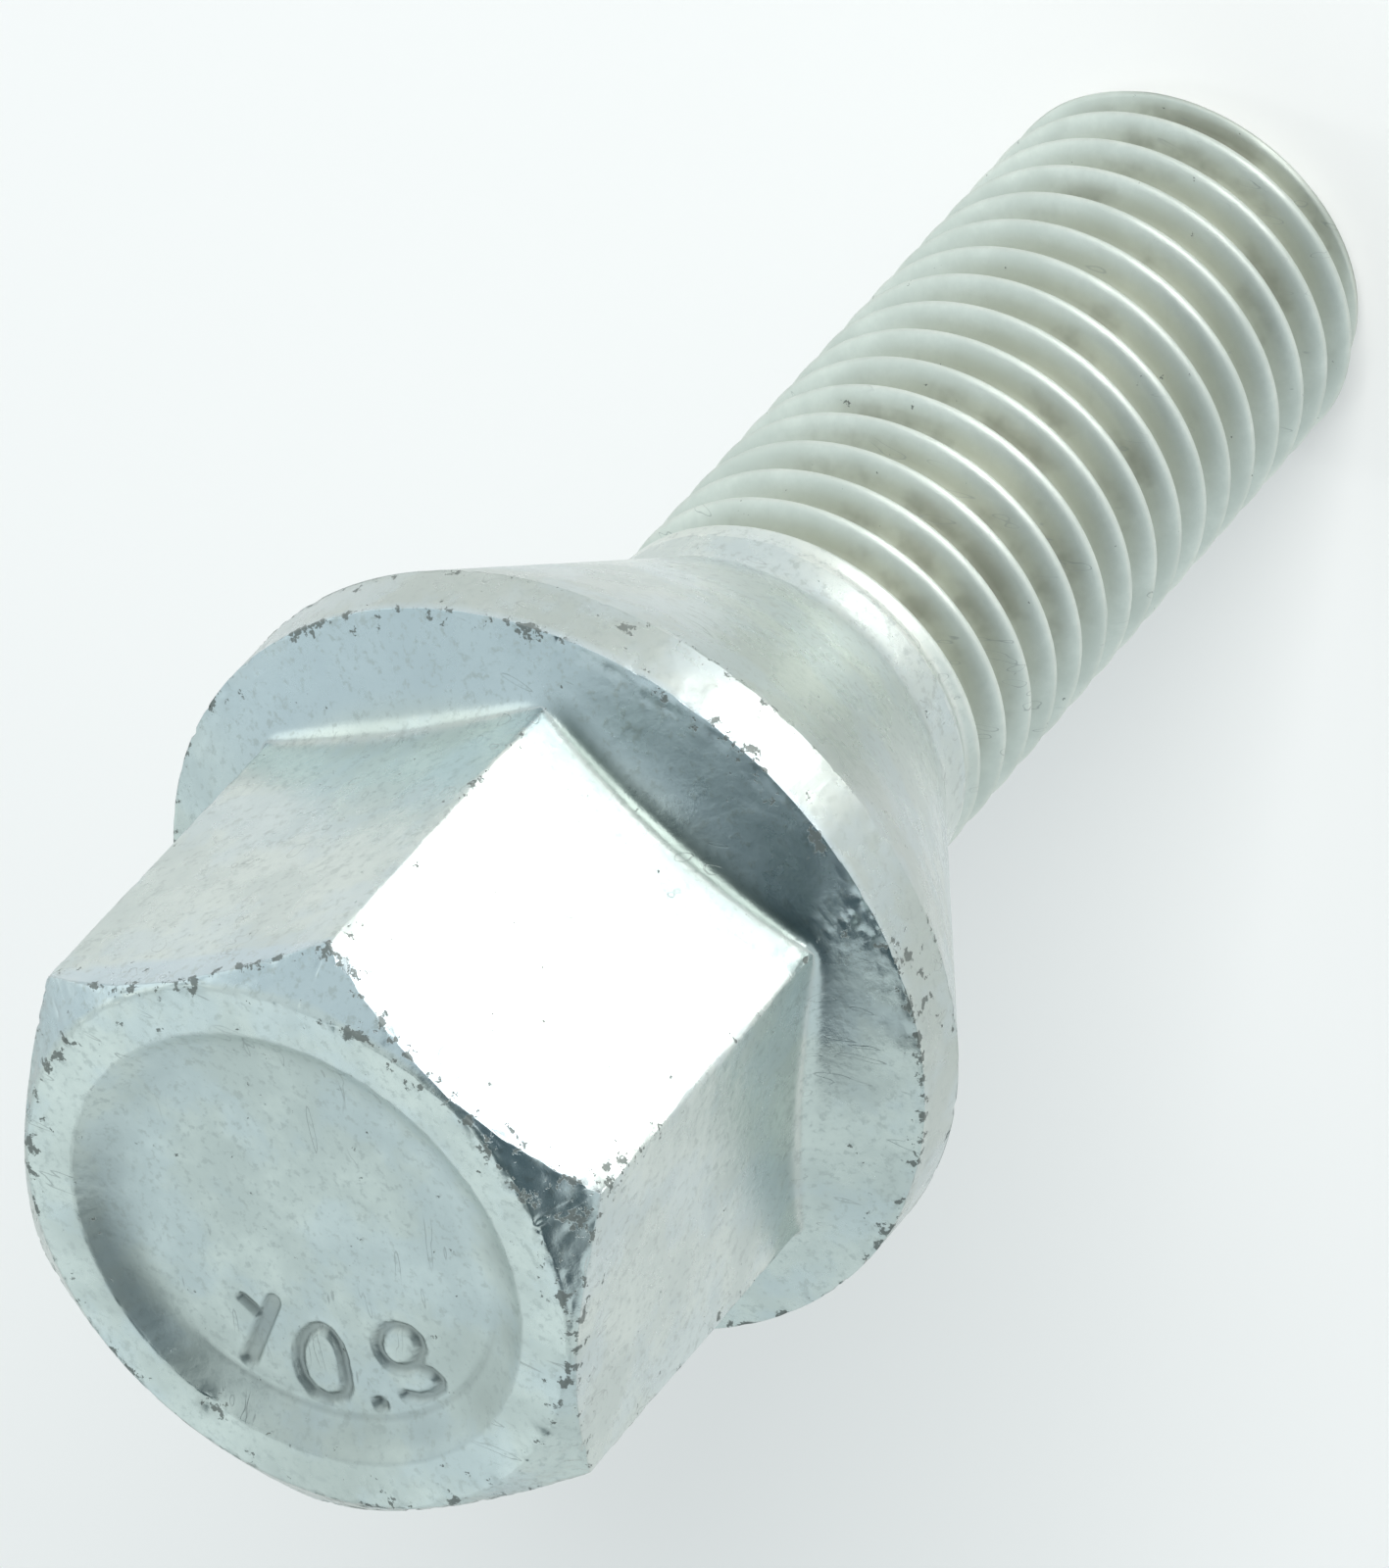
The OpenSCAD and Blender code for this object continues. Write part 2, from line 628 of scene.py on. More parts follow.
    def weather(self, bm: BMesh) -> None:
        """Give the surfaces their forged unevenness, and the edges their knocks.

        Args:
            bm: The head's mesh, in millimetres.
        """
        wear = bm.verts.layers.float["wear"]
        seat = Ramp(self.neck_end, self.neck_end + self.seat_run)
        bm.normal_update()
        moves = []
        for v in bm.verts:
            p = v.co
            swell = 0.5 + 0.5 * noise.fractal(p * self.swell_scale, 1.0, 2.0, 3)
            ripple = 0.5 + 0.5 * noise.noise(p * self.ripple_scale + self.ripple_shift)
            inward = self.swell_depth * swell + self.ripple_depth * ripple
            if p.z < self.sizes.rim_low:
                inward *= self.seat_sag * seat.at(p.z)
            chip = noise.noise(p * self.chip_scale + self.chip_shift)
            chip += self.crumb_share * noise.noise(p * self.crumb_scale)
            inward += self.chip_depth * v[wear] * self.chip_ramp.at(chip)
            inward += sum(dent.read(p, self.knocking) for dent in self.dents)
            moves.append((v, v.normal * -inward))
        for v, move in moves:
            v.co += move


@dataclass
class Thread:
    """Rolled right-hand thread from the neck to the chamfered end."""

    sizes: BoltSizes
    pitch: float = 1.5
    depth: float = 0.86
    crest_half: float = 0.13
    crest_z: float = 0.72
    crest_angle: float = math.radians(-60.5)
    flank_angle: float = 30.0
    rounding: float = 0.3
    shares: tuple[float, ...] = (
        -0.5, -0.42, -0.34, -0.26, -0.18, -0.11, -0.06, 0.0, 0.06, 0.11, 0.18, 0.26, 0.34, 0.42,
    )
    steps: int = 120
    first_turn: int = -2
    last_turn: int = 19
    runout: Ramp = Ramp(24.4, 25.4)
    end_r: float = 4.8
    top: float = 25.45
    cut_gap: float = 1e-4
    merge_gap: float = 1e-3
    groove_depth: Ramp = Ramp(0.1, 0.8)
    groove_height: Ramp = Ramp(0.3, 1.4)
    # The groove tone is partly painted shade: strongest on the side at crest_angle and weaker
    # turned away from it
    groove_shade_turn: Ramp = Ramp(0.25, 0.95)
    groove_shade_behind: float = 0.25
    end_insets: tuple[float, float] = (0.25, 2.0)

    def profile(self, along: float) -> float:
        """Return the thread's radius at a distance from a crest's middle.

        Args:
            along: Axial distance from the crest, in millimetres.

        Returns:
            Radius in millimetres.
        """
        drop = (abs(along) - self.crest_half) / math.tan(math.radians(self.flank_angle))
        drop = smooth_max(drop, 0.0, self.rounding)
        return self.sizes.shank_r - self.depth + smooth_max(self.depth - drop, 0.0, self.rounding)

    def roll(self, bm: BMesh) -> None:
        """Build the threaded shank in an empty mesh.

        Args:
            bm: The mesh to fill, in millimetres.
        """
        heading = Matrix.Rotation(self.crest_angle, 3, "Z")
        chain = []
        for turn in range(self.first_turn, self.last_turn + 1):
            for share in self.shares:
                z = self.crest_z + (turn + share) * self.pitch
                place = heading @ Vector((self.profile(share * self.pitch), 0, z))
                chain.append(bm.verts.new(place))
        edges = [bm.edges.new(pair) for pair in zip(chain, chain[1:])]
        bmesh.ops.spin(
            bm, geom=chain + edges, cent=(0, 0, 0), axis=(0, 0, 1), angle=math.tau,
            dvec=(0, 0, self.pitch / self.steps), steps=self.steps,
            use_merge=False, use_duplicate=False,
        )
        bmesh.ops.remove_doubles(bm, verts=bm.verts[:], dist=self.merge_gap)
        for height, lower in ((0.0, True), (self.top, False)):
            bmesh.ops.bisect_plane(
                bm, geom=bm.verts[:] + bm.edges[:] + bm.faces[:], dist=self.cut_gap,
                plane_co=(0, 0, height), plane_no=(0, 0, 1),
                clear_inner=lower, clear_outer=not lower,
            )
        bmesh.ops.remove_doubles(bm, verts=bm.verts[:], dist=self.merge_gap)
        self.run_out(bm)
        ends = [e for e in bm.edges if e.is_boundary and all(v.co.z < TOUCH for v in e.verts)]
        made = bmesh.ops.holes_fill(bm, edges=ends, sides=0)["faces"]
        for inset in self.end_insets:
            bmesh.ops.inset_region(bm, faces=made, thickness=inset, use_even_offset=True)
        bmesh.ops.poke(bm, faces=made)

    def run_out(self, bm: BMesh) -> None:
        """Let the thread run out, chamfer its end and mask its grooves, whose tone is partly
        painted shade.

        Args:
            bm: The shank's mesh, in millimetres.
        """
        groove, rolled = (bm.verts.layers.float.new(name) for name in THREAD_MASKS)
        full = self.sizes.shank_r
        for v in bm.verts:
            r = v.co.xy.length
            out = self.runout.at(v.co.z)
            shaped = min(r + (full - r) * out, self.end_r + v.co.z)
            turn = math.cos(math.atan2(v.co.y, v.co.x) - self.crest_angle)
            # Painted shade: the grooves are darkest on the side that faces crest_angle
            shade_facing = self.groove_shade_behind + (1.0 - self.groove_shade_behind) * self.groove_shade_turn.at(turn)
            deep = self.groove_depth.at((full - shaped) / self.depth)
            v[groove] = deep * self.groove_height.at(v.co.z) * shade_facing
            v[rolled] = 1.0 - out
            v.co.xy = v.co.xy * (shaped / r)
            v.co.z = max(v.co.z, 0.0)


class Region(Enum):
    """Faces that take one finish."""

    SKIN = 0
    DISH = 1
    THREAD = 2


# The rubbed places seen on the head: x, y, z, reach and strength
RUBS = tuple(Mark(*row) for row in (
    (0.1, -9.75, 49.7, 0.9), (0.9, -8.95, 51.2, 0.7), (-0.3, -9.0, 51.2, 0.8),
    (-1.4, -8.95, 51.1, 0.6, 0.8), (-2.9, -8.2, 51.2, 0.5, 0.7),
    (2.7, -8.1, 51.6, 0.5, 0.6), (0.2, -9.7, 45.7, 0.5, 0.5), (0.0, -9.85, 39.6, 0.6, 0.9),
    (0.6, -11.0, 38.5, 0.7, 0.9), (-0.2, -11.7, 38.1, 0.9, 0.9),
    (-1.5, -11.6, 37.6, 0.8, 0.8), (-2.6, -11.4, 37.6, 0.8, 0.7),
    (-4.0, -11.0, 37.5, 0.9, 0.8), (-4.8, -10.7, 38.0, 0.7, 0.7),
    (-7.5, -8.9, 38.2, 0.8, 0.7), (-9.2, -7.0, 38.2, 0.8, 0.8),
    (10.9, -4.4, 36.9, 0.8, 0.8), (9.5, -7.0, 37.1, 0.8, 0.7), (8.4, -8.2, 38.2, 0.8, 0.8),
    (7.6, -8.9, 37.8, 0.9, 0.8), (6.3, -9.9, 37.8, 1.1, 0.9), (4.9, -10.7, 37.9, 1.1, 0.9),
    (3.22, -7.95, 46.27, 0.35, 0.8), (1.0, -9.24, 45.93, 0.35, 0.8),
    (3.0, -11.3, 38.2, 0.8, 0.9), (8.4, -5.0, 49.6, 0.45, 0.6), (7.9, -5.2, 50.9, 0.4, 0.5),
    (8.5, -1.5, 51.4, 0.6, 0.7), (8.45, 1.6, 51.5, 0.8, 0.8), (7.4, 4.2, 51.5, 0.9, 0.6),
    (-6.2, -5.4, 51.7, 0.5, 0.9), (-7.7, -5.3, 50.9, 0.8, 0.9), (-4.5, 5.4, 51.7, 0.5, 0.9),
    (8.5, 8.0, 38.3, 0.9, 0.7),
))
# Places of the end face painted darker: painted shade on the dish wall, and darker patches on the
# face ring
DARKENED_PLACES = tuple(Mark(*row) for row in (
    (-7.3, 3.0, 51.76, 2.4, 1.1), (-4.6, -4.0, 51.2, 1.6, 0.7), (-6.2, 1.5, 51.3, 0.9, 0.9),
    (-6.3, -0.9, 51.3, 0.9, 1.0), (-5.3, -3.5, 51.3, 0.9, 1.0),
    (-3.5, -5.2, 51.3, 0.9, 1.0), (-1.0, -6.1, 51.3, 0.9, 0.8), (3.3, 5.6, 51.4, 1.2, 0.8),
    (1.1, 6.4, 51.4, 1.2, 0.9), (-1.1, 6.4, 51.4, 1.2, 1.0), (-3.2, 5.6, 51.4, 1.2, 1.0),
))
# The knocks at two corners, the flange and the dish: x, y, z, reach and depth
KNOCKS = tuple(Mark(*row) for row in (
    (0.0, -9.75, 50.3, 0.4, 0.12), (0.5, -9.3, 50.8, 0.3, 0.08),
    (-0.7, -9.2, 50.8, 0.3, 0.08), (8.43, -4.95, 49.5, 0.28, 0.1),
    (7.8, -5.3, 50.8, 0.25, 0.07), (-4.5, 5.38, 51.75, 0.45, 0.12),
    (-6.2, -5.37, 51.75, 0.3, 0.1), (1.1, -11.5, 38.35, 0.35, 0.12),
    (0.5, -10.9, 38.5, 0.25, 0.07),
))


@dataclass
class WheelBolt:
    """The whole bolt as one closed mesh."""

    head: Head
    thread: Thread
    neck_zone: float = 0.2
    dish_zone: float = 1.2

    def build(self) -> bpy.types.Object:
        """Build the bolt and link it.

        Returns:
            The piece.
        """
        bm = bmesh.new()
        self.head.forge(bm)
        self.head.stamp(bm)
        self.head.weather(bm)
        part = bpy.data.meshes.new("thread_part")
        shank = bmesh.new()
        self.thread.roll(shank)
        shank.to_mesh(part)
        shank.free()
        bm.from_mesh(part)
        bpy.data.meshes.remove(part)
        low = self.head.neck_end - self.neck_zone
        top = [e for e in bm.edges if e.is_boundary and all(v.co.z > low for v in e.verts)]
        bmesh.ops.bridge_loops(bm, edges=top)
        bmesh.ops.recalc_face_normals(bm, faces=bm.faces[:])
        self.sort_regions(bm)
        bmesh.ops.scale(bm, vec=(MM, MM, MM), verts=bm.verts[:])
        for face in bm.faces:
            face.smooth = True
        bm.verts.layers.int.remove(bm.verts.layers.int[RING_LAYER])
        mesh = bpy.data.meshes.new("wheel_bolt")
        bm.to_mesh(mesh)
        bm.free()
        piece = bpy.data.objects.new("wheel_bolt", mesh)
        bpy.context.scene.collection.objects.link(piece)
        return piece

    def sort_regions(self, bm: BMesh) -> None:
        """Give each face the number of its finish.

        Args:
            bm: The bolt's mesh, in millimetres.
        """
        s = self.head.sizes
        for face in bm.faces:
            middle = face.calc_center_median()
            region = Region.SKIN
            if middle.z > s.face_z - self.dish_zone and middle.xy.length < s.dish_r:
                region = Region.DISH
            elif middle.z < self.thread.runout.end:
                region = Region.THREAD
            face.material_index = region.value


# Finishes


def empty_tree(owner: bpy.types.ID) -> Tree:
    """Switch a material or world to nodes and empty its tree.

    Args:
        owner: The material or world.

    Returns:
        Its node tree.
    """
    owner.use_nodes = True
    owner.node_tree.nodes.clear()
    return owner.node_tree


def add_node(tree: Tree, kind: str, **values: object) -> bpy.types.Node:
    """Add a node to a tree, set its properties, and its inputs by name or number.

    Args:
        tree: The tree.
        kind: Node type.
        values: Properties, and inputs as a dict under the name inputs.

    Returns:
        The node.
    """
    node = tree.nodes.new(kind)
    inputs = values.pop("inputs", {})
    for name, value in values.items():
        setattr(node, name, value)
    for name, value in inputs.items():
        if isinstance(value, Socket):
            tree.links.new(value, node.inputs[name])
        else:
            node.inputs[name].default_value = value
    return node


def soft_range(
    tree: Tree, value: Socket, low: float, high: float, out_low: float = 0.0, out_high: float = 1.0
) -> Socket:
    """Map a value from one range to another with a soft start and end.

    Args:
        tree: The tree.
        value: Socket to map.
        low: Start of the range.
        high: End of the range.
        out_low: Result at the start.
        out_high: Result at the end.

    Returns:
        The mapped socket.
    """
    ends = {"From Min": low, "From Max": high, "To Min": out_low, "To Max": out_high}
    node = add_node(tree, "ShaderNodeMapRange", inputs={"Value": value, **ends},
                    interpolation_type="SMOOTHSTEP")
    return node.outputs["Result"]


def maths(tree: Tree, operation: str, a: object, b: object = 0.0) -> Socket:
    """Join two values by an arithmetic node.

    Args:
        tree: The tree.
        operation: Name of the operation.
        a: First value or socket.
        b: Second value or socket.

    Returns:
        The result.
    """
    return add_node(tree, "ShaderNodeMath", operation=operation, inputs={0: a, 1: b}).outputs[0]


def times(tree: Tree, a: object, b: object) -> Socket:
    """Multiply two values.

    Args:
        tree: The tree.
        a: First value or socket.
        b: Second value or socket.

    Returns:
        The product.
    """
    return maths(tree, "MULTIPLY", a, b)


def mix_colour(tree: Tree, factor: object, a: object, b: object) -> Socket:
    """Mix two colours.

    Args:
        tree: The tree.
        factor: Share of the second colour.
        a: First colour or socket.
        b: Second colour or socket.

    Returns:
        The mixed colour.
    """
    node = add_node(tree, "ShaderNodeMix", data_type="RGBA", inputs={0: factor, 6: a, 7: b})
    return node.outputs[2]


def noise_field(
    tree: Tree, place: Socket, scale: object, detail: float, roughness: float
) -> Socket:
    """Add a noise texture.

    Args:
        tree: The tree.
        place: Where it is read.
        scale: Its scale, per metre.
        detail: Number of finer layers.
        roughness: Share that each finer layer keeps.

    Returns:
        The noise, from 0 to 1.
    """
    values = {"Vector": place, "Scale": scale, "Detail": detail, "Roughness": roughness}
    return add_node(tree, "ShaderNodeTexNoise", inputs=values).outputs["Fac"]


class Effect:
    """A shader node group with named inputs and outputs."""

    def __init__(self, name: str) -> None:
        """Start a group that takes a vector.

        Args:
            name: Name of the group.
        """
        self.tree = bpy.data.node_groups.new(name, "ShaderNodeTree")
        self.entry = self.tree.nodes.new("NodeGroupInput")
        self.exit = self.tree.nodes.new("NodeGroupOutput")
        self.tree.interface.new_socket("Vector", in_out="INPUT", socket_type="NodeSocketVector")
        self.place = self.entry.outputs["Vector"]

    def take(self, name: str, default: float) -> Socket:
        """Add a named number as an input.

        Args:
            name: Name of the input.
            default: Its value where nothing is linked.

        Returns:
            The socket that carries it inside the group.
        """
        socket = self.tree.interface.new_socket(
            name, in_out="INPUT", socket_type="NodeSocketFloat"
        )
        socket.default_value = default
        return self.entry.outputs[name]

    def give(self, name: str, source: Socket) -> None:
        """Add a named number as an output.

        Args:
            name: Name of the output.
            source: Socket that feeds it.
        """
        self.tree.interface.new_socket(name, in_out="OUTPUT", socket_type="NodeSocketFloat")
        self.tree.links.new(source, self.exit.inputs[name])


def make_clouds() -> Tree:
    """Build the group for the plating's soft blotches and fine grain.

    Returns:
        The group, which puts out blotch, grain and mottle masks, a stain noise
        and a height.
    """
    stain_scale, broad_scale, broad_height = 330.0, 1300.0, 1.4
    g = Effect("plating_clouds")
    t = g.tree
    blotch = noise_field(t, g.place, g.take("Blotch Scale", 420.0), detail=5.0, roughness=0.6)
    grain = noise_field(t, g.place, g.take("Grain Scale", 3600.0), detail=3.0, roughness=0.65)
    broad = noise_field(t, g.place, broad_scale, detail=2.0, roughness=0.5)
    g.give("Blotch", soft_range(t, blotch, low=0.32, high=0.68))
    g.give("Grain", soft_range(t, grain, low=0.3, high=0.7))
    g.give("Stain", noise_field(t, g.place, stain_scale, detail=4.0, roughness=0.6))
    g.give("Mottle", soft_range(t, grain, low=0.52, high=0.68))
    g.give("Height", maths(t, "ADD", grain, times(t, broad, broad_height)))
    return t


def make_specks() -> Tree:
    """Build the group for dark pits and bare specks that gather along worn edges.

    Returns:
        The group, which puts out a speck mask and a bright rub mask.
    """
    patch_scale, bare_limit, wear_drop = 0.22, 0.70, 0.205
    g = Effect("edge_specks")
    t = g.tree
    wear, scale, stray = g.take("Wear", 0.0), g.take("Scale", 2600.0), g.take("Stray", 0.04)
    fine = noise_field(t, g.place, scale, detail=4.0, roughness=0.7)
    patch = noise_field(t, g.place, times(t, scale, patch_scale), detail=2.0, roughness=0.5)
    where = maths(t, "ADD", times(t, wear, soft_range(t, patch, low=0.36, high=0.56)), stray)
    limit = maths(t, "SUBTRACT", bare_limit, times(t, where, wear_drop))
    g.give("Speck", soft_range(t, maths(t, "SUBTRACT", fine, limit), low=0.0, high=0.035))
    g.give("Rub", times(t, wear, soft_range(t, patch, low=0.5, high=0.35)))
    return t


def make_scratches() -> Tree:
    """Build the group for sparse hairline scratches.

    Returns:
        The group, which puts out a scratch mask.
    """
    stretch, line_scale, level, width = (1.0, 0.14, 0.5), 9.0, 0.66, 0.014
    g = Effect("hairlines")
    t = g.tree
    turn, scale = g.take("Turn", 0.6), g.take("Scale", 300.0)
    inputs = {"Vector": g.place, "Angle": turn}
    node = add_node(t, "ShaderNodeVectorRotate", rotation_type="Z_AXIS", inputs=inputs)
    turned = node.outputs[0]
    inputs = {0: turned, 1: stretch}
    drawn = add_node(t, "ShaderNodeVectorMath", operation="MULTIPLY", inputs=inputs)
    line = noise_field(t, drawn.outputs[0], times(t, scale, line_scale), detail=1.0, roughness=0.4)
    patch = noise_field(t, turned, scale, detail=1.0, roughness=0.5)
    off_line = maths(t, "ABSOLUTE", maths(t, "SUBTRACT", line, level))
    thin = soft_range(t, off_line, low=width, high=0.0)
    g.give("Scratch", times(t, thin, soft_range(t, patch, low=0.54, high=0.62)))
    return t


class Coat(NamedTuple):
    """A tone that a mask lays over the plating."""

    colour: Colour
    strength: float = 1.0


@dataclass(frozen=True)
class ZincFinish:
    """Zinc plating on one region of the bolt."""

    name: str
    light: Colour = (0.70, 0.745, 0.705, 1.0)
    deep: Colour = (0.60, 0.65, 0.625, 1.0)
    grain: float = 0.45
    # Olive tone in the thread's grooves: partly their own tone, partly painted shade that is
    # strongest on one side
    groove: Coat = Coat((0.50, 0.505, 0.41, 1.0), 0.8)
    stain: Coat = Coat((0.19, 0.18, 0.135, 1.0), 0.45)
    # Darker tone, partly painted shade on the seat and the dish wall
    shade_and_dark_tone: Coat = Coat((0.49, 0.53, 0.50, 1.0), 0.75)
    cool: Coat = Coat((0.575, 0.665, 0.725, 1.0))
    cool_places: float = 0.7
    cool_clouds: float = 0.3
    mottle: Coat = Coat((0.46, 0.50, 0.48, 1.0), 0.55)
    # Painted shade: the dark tone that the hollow corner's mask lays on
    hollow_shade: Coat = Coat((0.13, 0.17, 0.155, 1.0), 0.8)
    stamp: Coat = Coat((0.20, 0.22, 0.21, 1.0), 0.55)
    rub: Coat = Coat((0.80, 0.82, 0.79, 1.0), 0.25)
    scratch: Coat = Coat((0.34, 0.36, 0.35, 1.0), 0.55)
    speck: Coat = Coat((0.14, 0.155, 0.145, 1.0), 0.85)
    roughness: float = 0.23
    spread: float = 0.08
    speck_roughness: float = 0.25
    rolled_roughness: float = 0.26
    speck_metal: float = 0.25
    speck_depth: float = 0.9
    scratch_depth: float = 0.5
    grain_height: float = 0.000008
    stray: float = 0.04
    scratch_turn: float = 0.6
    wear_scale: float = 2100.0

    def make(self, groups: dict[str, Tree]) -> bpy.types.Material:
        """Build the material.

        Args:
            groups: The shared effect groups by name.

        Returns:
            The material.
        """
        material = bpy.data.materials.new(self.name)
        t = empty_tree(material)
        place = add_node(t, "ShaderNodeTexCoord").outputs["Object"]
        mask = {
            name: add_node(t, "ShaderNodeAttribute", attribute_name=name).outputs["Fac"]
            for name in HEAD_MASKS + THREAD_MASKS
        }
        settings = {
            "clouds": {},
            "specks": {"Wear": mask["wear"], "Stray": self.stray, "Scale": self.wear_scale},
            "scratches": {"Turn": self.scratch_turn},
        }
        for name, values in settings.items():
            inputs = {"Vector": place, **values}
            node = add_node(t, "ShaderNodeGroup", node_tree=groups[name], inputs=inputs)
            mask.update((output.name, output) for output in node.outputs)
        colour = self.colour(t, mask)
        rough = soft_range(
            t, mask["Blotch"], low=0.0, high=1.0,
            out_low=self.roughness, out_high=self.roughness + self.spread,
        )
        rough = maths(t, "ADD", rough, times(t, mask["Speck"], self.speck_roughness))
        rough = maths(t, "ADD", rough, times(t, mask["rolled"], self.rolled_roughness))
        metal = maths(t, "SUBTRACT", 1.0, times(t, mask["Speck"], self.speck_metal))
        height = maths(t, "SUBTRACT", mask["Height"], times(t, mask["Speck"], self.speck_depth))
        height = maths(t, "SUBTRACT", height, times(t, mask["Scratch"], self.scratch_depth))
        bump = add_node(t, "ShaderNodeBump", inputs={
            "Height": height, "Strength": 1.0, "Distance": self.grain_height,
        })
        shader = add_node(t, "ShaderNodeBsdfPrincipled", inputs={
            "Base Color": colour, "Roughness": rough, "Metallic": metal,
            "Normal": bump.outputs["Normal"],
        })
        out = add_node(t, "ShaderNodeOutputMaterial")
        t.links.new(shader.outputs[0], out.inputs["Surface"])
        return material

    def colour(self, t: Tree, mask: dict[str, Socket]) -> Socket:
        """Lay the finish's tones over each other, among them painted shade.

        Args:
            t: The material's tree.
            mask: Masks by name, from the mesh and from the effect groups.

        Returns:
            The colour.
        """
        plain = maths(t, "SUBTRACT", 1.0, mask["rolled"])
        stained = times(t, mask["groove"], soft_range(t, mask["Stain"], low=0.5, high=0.66))
        clouds = soft_range(t, mask["Stain"], low=0.54, high=0.40, out_high=self.cool_clouds)
        places = times(t, mask["cool"], self.cool_places)
        cool = maths(t, "MAXIMUM", places, times(t, clouds, plain))
        coats = (
            (mask["Blotch"], Coat(self.deep)),
            (mask["Grain"], Coat(self.deep, self.grain)),
            (mask["groove"], self.groove),
            (stained, self.stain),
            (mask["shade_and_dark_tone"], self.shade_and_dark_tone),
            (cool, self.cool),
            (times(t, mask["Mottle"], plain), self.mottle),
            (mask["hollow"], self.hollow_shade),
            (mask["stamp"], self.stamp),
            (mask["Rub"], self.rub),
            (mask["Scratch"], self.scratch),
            (mask["Speck"], self.speck),
        )
        colour: object = self.light
        for where, coat in coats:
            colour = mix_colour(t, times(t, where, coat.strength), colour, coat.colour)
        return colour


# Studio


def direction(azimuth: float, elevation: float) -> Vector:
    """Return the unit vector of a direction.

    Args:
        azimuth: Turn round the bolt in degrees, 0 along X.
        elevation: Height above the horizon in degrees.

    Returns:
        The direction.
    """
    a, e = math.radians(azimuth), math.radians(elevation)
    return Vector((math.cos(e) * math.cos(a), math.cos(e) * math.sin(a), math.sin(e)))


class Softbox(NamedTuple):
    """A soft patch of the studio's surround, which also lights the object."""

    azimuth: float
    elevation: float
    inner: float
    outer: float
    colour: tuple[float, float, float]


class Lamp(NamedTuple):
    """A lamp, with its direction in degrees and its power in watts."""

    name: str
    azimuth: float
    elevation: float
    power: float


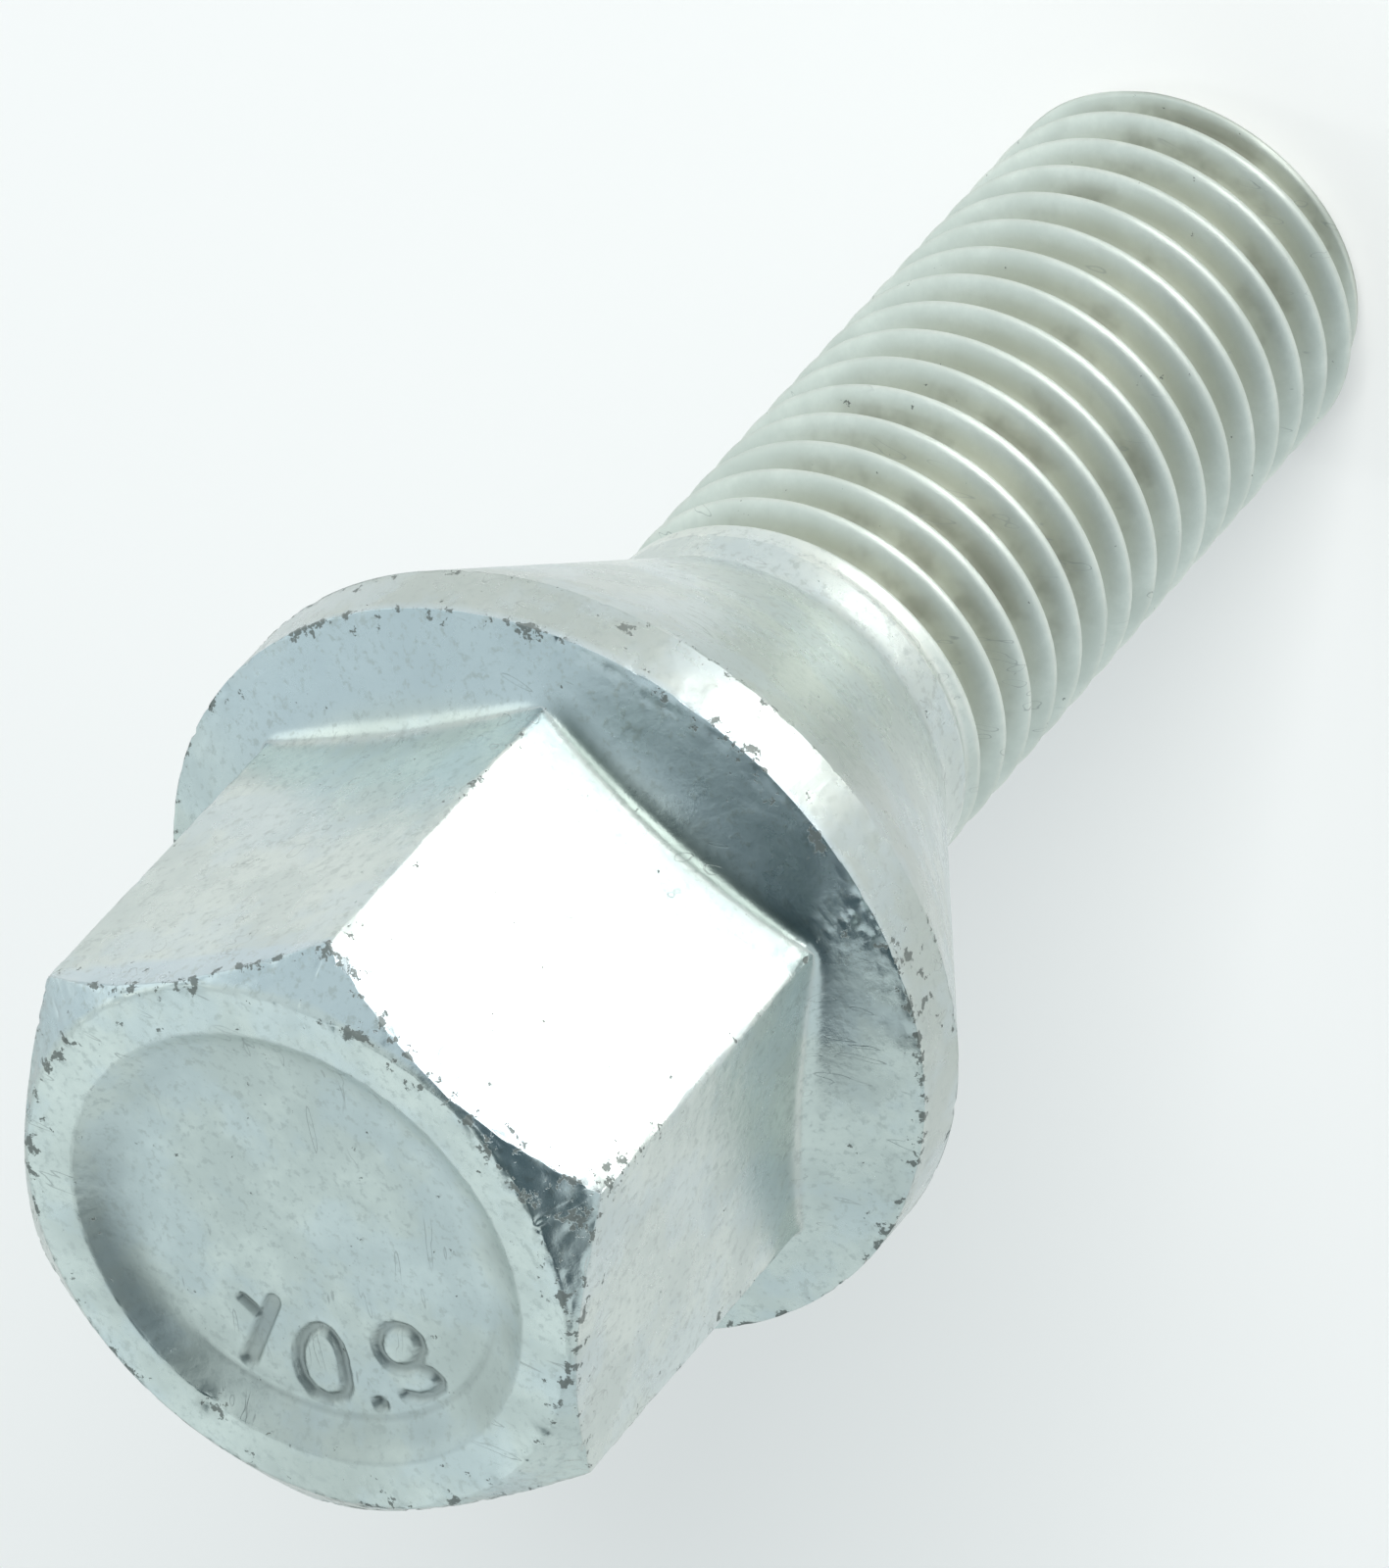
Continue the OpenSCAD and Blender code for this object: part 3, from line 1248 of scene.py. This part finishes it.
@dataclass(frozen=True)
class Studio:
    """Pale floor, soft light and the camera, in metres.

    A pool of light is a lamp, the place it lights, that place's radius and the lamp's.
    """

    ambient: Colour = (0.70, 0.80, 0.815, 1.0)
    white: Colour = (0.97, 0.995, 1.0, 1.0)
    boxes: tuple[Softbox, ...] = (
        Softbox(116, 38, 6, 22, (0.86, 0.98, 1.0)),
        Softbox(42, 14, 14, 30, (1.15, 1.26, 1.24)),
        Softbox(-136, 64, 21, 29, (0.05, 0.08, 0.095)),
        Softbox(136, 71, 6, 11, (0.10, 0.15, 0.165)),
        Softbox(-95, 62, 11, 29, (0.09, 0.135, 0.15)),
        Softbox(-72, 43, 10, 20, (0.12, 0.17, 0.185)),
        Softbox(-61, 4, 13, 21, (4.4, 4.5, 4.4)),
    )
    floor_half: float = 3.0
    floor_gap: float = 0.00002
    floor_colour: Colour = (0.775, 0.765, 0.755, 1.0)
    floor_glow: float = 0.35
    mirrored_glow: float = 0.15
    key: Lamp = Lamp("key", -47, 37, 2.5)
    key_target: tuple[float, float, float] = (0.0, 0.0, 0.04)
    key_distance: float = 0.55
    key_size: float = 0.18
    pools: tuple[tuple, ...] = (
        (Lamp("pool", -65, 42, 50.0), (0.0285, -0.049), 0.021, 0.012),
        (Lamp("far_pool", -65, 42, 60.0), (0.050, -0.089), 0.034, 0.012),
        (Lamp("fill", 60, 55, 2.8), (0.024, 0.040), 0.048, 0.05),
    )
    pool_distance: float = 0.5
    camera_place: tuple[float, float, float] = (0.149891, -0.252753, 0.307795)
    camera_right: tuple[float, float, float] = (-0.40499054, -0.77491863, -0.48526671)
    camera_down: tuple[float, float, float] = (-0.83657637, 0.09989265, 0.53866635)
    camera_ahead: tuple[float, float, float] = (-0.36894801, 0.62411744, -0.68873419)
    lens: float = 337.5
    sensor: float = 36.0
    shift: tuple[float, float] = (-0.00802, -0.00825)
    clip: tuple[float, float] = (0.01, 20.0)

    def build(self) -> None:
        """Build the floor, the surround, the lamps and the camera."""
        self.lay_floor()
        self.surround()
        target = Vector(self.key_target)
        self.hang(self.key, "AREA", target, self.key_distance, size=self.key_size)
        for lamp, place, radius, softness in self.pools:
            cone = 2 * math.atan(radius / self.pool_distance)
            self.hang(lamp, "SPOT", Vector((*place, 0)), self.pool_distance,
                      spot_blend=1.0, shadow_soft_size=softness, spot_size=cone)
        self.set_camera()
        bpy.context.scene.view_settings.view_transform = "Standard"

    def lay_floor(self) -> None:
        """Lay the pale floor under the bolt."""
        bm = bmesh.new()
        bmesh.ops.create_grid(bm, x_segments=1, y_segments=1, size=self.floor_half)
        bmesh.ops.translate(bm, vec=(0, 0, -self.floor_gap), verts=bm.verts[:])
        mesh = bpy.data.meshes.new("floor")
        bm.to_mesh(mesh)
        bm.free()
        floor = bpy.data.objects.new("floor", mesh)
        bpy.context.scene.collection.objects.link(floor)
        material = bpy.data.materials.new("pale_floor")
        t = empty_tree(material)
        path = add_node(t, "ShaderNodeLightPath").outputs
        mirrored = maths(t, "MAXIMUM", path["Is Glossy Ray"], path["Is Transmission Ray"])
        lit = add_node(t, "ShaderNodeBsdfDiffuse", inputs={"Color": self.floor_colour})
        glow = add_node(t, "ShaderNodeEmission", inputs={"Color": self.white, "Strength": 1.0})
        seen = times(t, path["Is Camera Ray"], self.floor_glow)
        share = maths(t, "MAXIMUM", seen, times(t, mirrored, self.mirrored_glow))
        mixed = add_node(t, "ShaderNodeMixShader", inputs={
            0: share, 1: lit.outputs[0], 2: glow.outputs[0],
        })
        out = add_node(t, "ShaderNodeOutputMaterial")
        t.links.new(mixed.outputs[0], out.inputs["Surface"])
        mesh.materials.append(material)

    def surround(self) -> None:
        """Build the studio's surround from its soft patches."""
        world = bpy.data.worlds.new("studio")
        bpy.context.scene.world = world
        t = empty_tree(world)
        heading = add_node(t, "ShaderNodeTexCoord").outputs["Generated"]
        colour: object = self.ambient
        for box in self.boxes:
            middle = direction(box.azimuth, box.elevation)
            inputs = {0: heading, 1: middle}
            dot = add_node(t, "ShaderNodeVectorMath", operation="DOT_PRODUCT", inputs=inputs)
            outer, inner = math.cos(math.radians(box.outer)), math.cos(math.radians(box.inner))
            share = soft_range(t, dot.outputs["Value"], low=outer, high=inner)
            colour = mix_colour(t, share, colour, (*box.colour, 1.0))
        path = add_node(t, "ShaderNodeLightPath").outputs
        colour = mix_colour(t, path["Is Camera Ray"], colour, self.white)
        glow = add_node(t, "ShaderNodeBackground", inputs={"Color": colour, "Strength": 1.0})
        out = add_node(t, "ShaderNodeOutputWorld")
        t.links.new(glow.outputs[0], out.inputs["Surface"])

    def hang(
        self, lamp: Lamp, kind: str, target: Vector, distance: float, **values: float
    ) -> None:
        """Hang a lamp that looks at a place and stays out of mirrored views.

        Args:
            lamp: Its name, direction and power.
            kind: Type of its light.
            target: Place that it looks at.
            distance: Distance from that place in metres.
            values: Further properties of its light.
        """
        data = bpy.data.lights.new(lamp.name, kind)
        data.energy = lamp.power
        for name, value in values.items():
            setattr(data, name, value)
        heading = direction(lamp.azimuth, lamp.elevation)
        hung = bpy.data.objects.new(lamp.name, data)
        bpy.context.scene.collection.objects.link(hung)
        hung.location = target + heading * distance
        hung.rotation_mode = "QUATERNION"
        hung.rotation_quaternion = (-heading).to_track_quat("-Z", "Y")
        hung.visible_glossy = False

    def set_camera(self) -> None:
        """Set the camera at the photograph's place."""
        data = bpy.data.cameras.new("camera")
        data.lens, data.sensor_width, data.sensor_fit = self.lens, self.sensor, "AUTO"
        data.shift_x, data.shift_y = self.shift
        data.clip_start, data.clip_end = self.clip
        camera = bpy.data.objects.new("camera", data)
        bpy.context.scene.collection.objects.link(camera)
        up, back = [-x for x in self.camera_down], [-x for x in self.camera_ahead]
        turn = Matrix((self.camera_right, up, back)).transposed()
        camera.matrix_world = Matrix.Translation(self.camera_place) @ turn.to_4x4()
        bpy.context.scene.camera = camera


def main() -> None:
    """Build the bolt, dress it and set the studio."""
    logging.basicConfig(level=logging.INFO, format="%(name)s: %(message)s")
    sizes = BoltSizes()
    marks = HeadMarks(sizes, scuffs=RUBS, shades=DARKENED_PLACES)
    piece = WheelBolt(Head(sizes, marks, KNOCKS), Thread(sizes)).build()
    groups = {"clouds": make_clouds(), "specks": make_specks(), "scratches": make_scratches()}
    finishes = {
        Region.SKIN: ZincFinish("plated_skin"),
        Region.DISH: ZincFinish("plated_dish", roughness=0.36, scratch_turn=1.9),
        Region.THREAD: ZincFinish(
            "plated_thread", (0.79, 0.82, 0.77, 1.0), (0.70, 0.735, 0.69, 1.0), stray=0.02
        ),
    }
    for region in Region:
        piece.data.materials.append(finishes[region].make(groups))
    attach(piece, "root")
    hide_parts("bolt")
    LOG.info("%s: %d faces", piece.name, len(piece.data.polygons))
    Studio().build()


if __name__ == "__main__":
    main()
